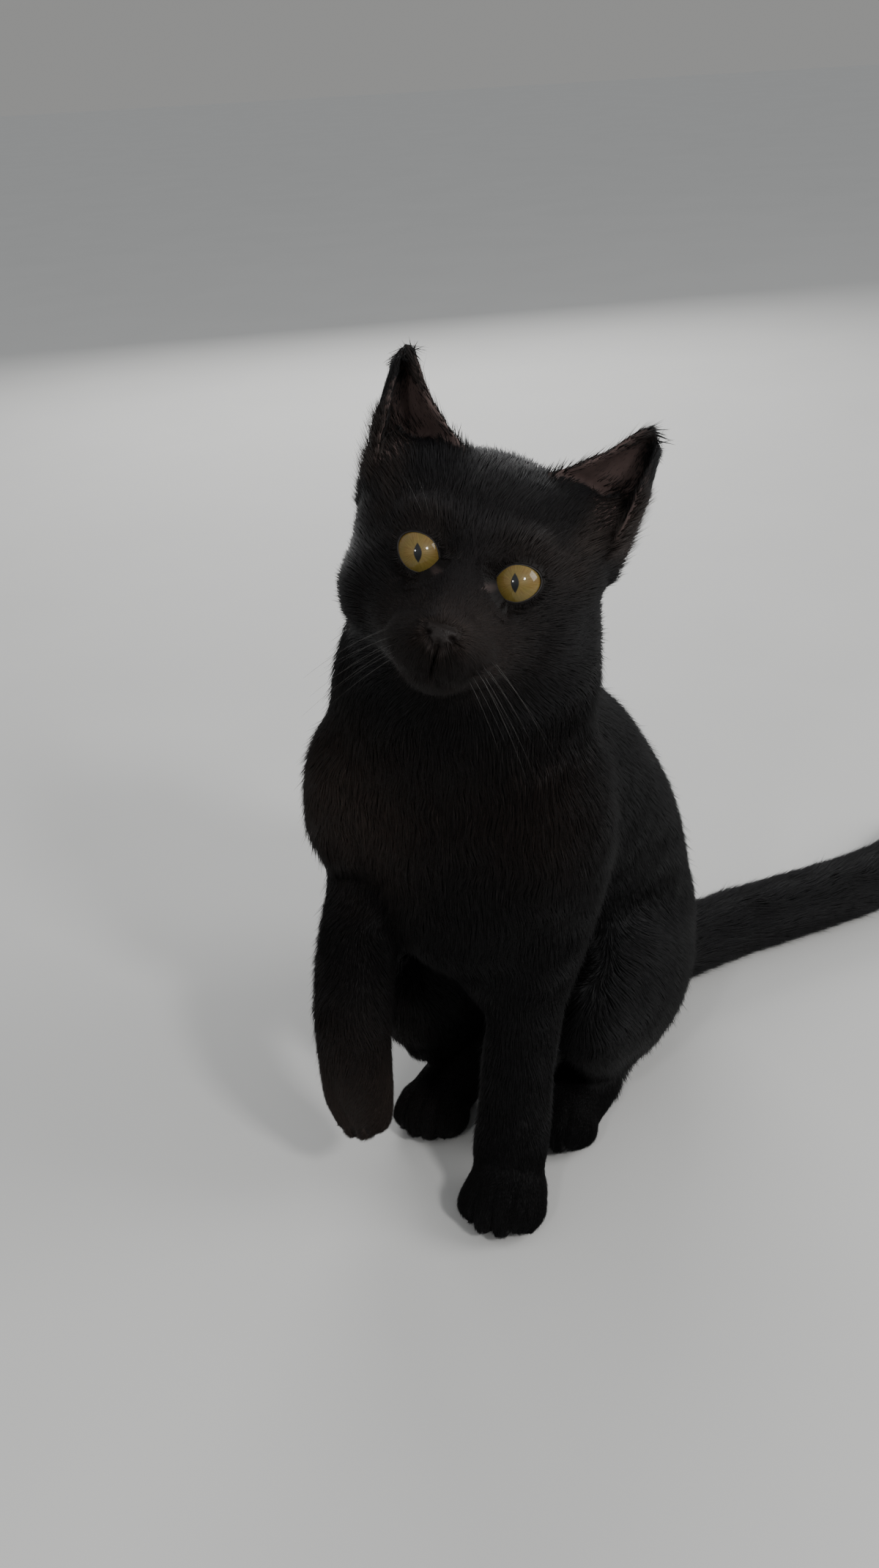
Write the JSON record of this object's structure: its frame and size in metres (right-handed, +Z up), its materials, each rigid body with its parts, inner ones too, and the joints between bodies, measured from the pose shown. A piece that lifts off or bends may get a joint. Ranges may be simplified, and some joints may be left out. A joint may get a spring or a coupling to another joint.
{
  "type": "cat figure",
  "caption": "Life-size museum-type model of a short-haired black cat, sitting with one forepaw lifted and its head turned and tilted.",
  "frame": {"origin": "middle of the underside of the whole figure's box, on the floor it sits on", "axes": "+Z up, the sitting cat faces -Y, its left side is +X"},
  "size_m": [0.221, 0.3922, 0.3377],
  "materials": {
    "coat": "short black fur with a soft sheen, faintly brown on the chest",
    "ear": "black fur outside, thinly haired dark pinkish brown skin inside",
    "eye": "glossy amber eye with a slit pupil",
    "nose": "dark, finely pebbled nose skin and eye rims",
    "whisker": "stiff tapering whisker hairs"
  },
  "bodies": {
    "root": {"belly": "coat", "chest": "coat", "ear_left": "ear", "ear_right": "ear", "eye_left": "eye", "eye_right": "eye", "forearm_left": "coat", "forearm_right": "coat", "forepaw_left": "coat", "forepaw_right": "coat", "head": "coat", "hind_foot_left": "coat", "hind_foot_right": "coat", "neck": "coat", "rump": "coat", "tail_1": "coat", "tail_2": "coat", "tail_3": "coat", "tail_4": "coat", "thigh_left": "coat", "thigh_right": "coat", "upper_arm_left": "coat", "upper_arm_right": "coat"}
  },
  "joints": []
}
